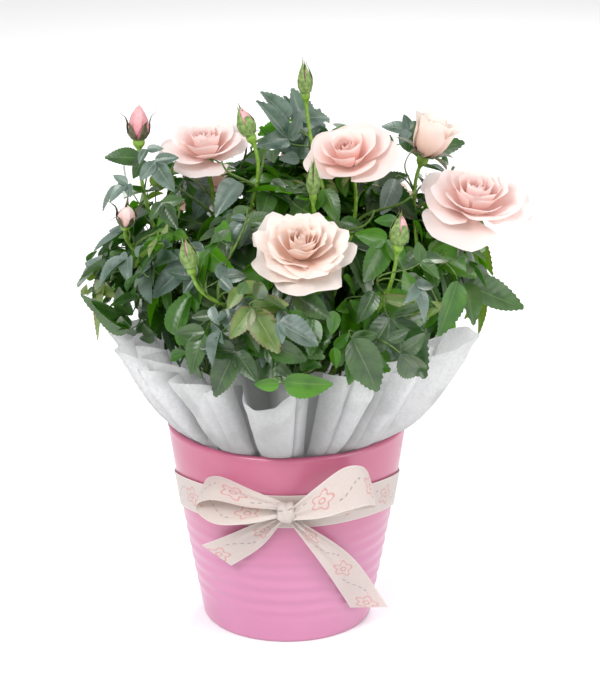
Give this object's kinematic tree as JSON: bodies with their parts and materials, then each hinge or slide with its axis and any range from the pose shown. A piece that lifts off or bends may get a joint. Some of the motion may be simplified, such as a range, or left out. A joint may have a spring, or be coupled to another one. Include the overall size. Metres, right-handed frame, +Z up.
{
  "type": "potted rose bush",
  "caption": "Patio rose in bloom, planted in a tapered glazed pot with a gathered tissue collar and a ribbon bow.",
  "frame": {"origin": "centre of the pot's flat underside", "axes": "+Z up along the pot's axis; -Y towards the front, where the bow is; +X to the right seen from the front"},
  "size_m": [0.2923, 0.2714, 0.374],
  "materials": {
    "pot": "satin rose-pink glaze with soft throwing ribs",
    "compost": "moist crumbly bark and peat compost",
    "tissue": "thin white non-woven tissue, pleated",
    "ribbon": "cream woven ribbon with a faint sheen",
    "bark": "smooth green-brown rose bark with small prickles",
    "leaf": "leathery rose leaves, glossy above and paler below",
    "petal": "soft blush-pink petals, deeper in the heart"
  },
  "bodies": {
    "root": {"pot": "pot", "compost": "compost", "tissue_collar": "tissue", "ribbon_band": "ribbon", "bow_knot": "ribbon", "bow_loop_left": "ribbon", "bow_loop_right": "ribbon", "bow_tail_left": "ribbon", "bow_tail_right": "ribbon", "rootstock": "bark", "cane_front": "bark", "foliage_front": "leaf", "bloom_front": "petal", "cane_front_right": "bark", "foliage_front_right": "leaf", "cane_right": "bark", "foliage_right": "leaf", "bloom_right": "petal", "half_open_upper_right": "petal", "cane_back_right": "bark", "foliage_back_right": "leaf", "bloom_back_right": "petal", "cane_back_left": "bark", "foliage_back_left": "leaf", "bloom_back_left": "petal", "bud_back": "petal", "cane_left": "bark", "foliage_left": "leaf", "bud_left": "petal", "bud_low_left": "petal", "cane_upper_left": "bark", "foliage_upper_left": "leaf", "bloom_upper_left": "petal", "cane_top": "bark", "foliage_top": "leaf", "bloom_top": "petal"}
  },
  "joints": []
}
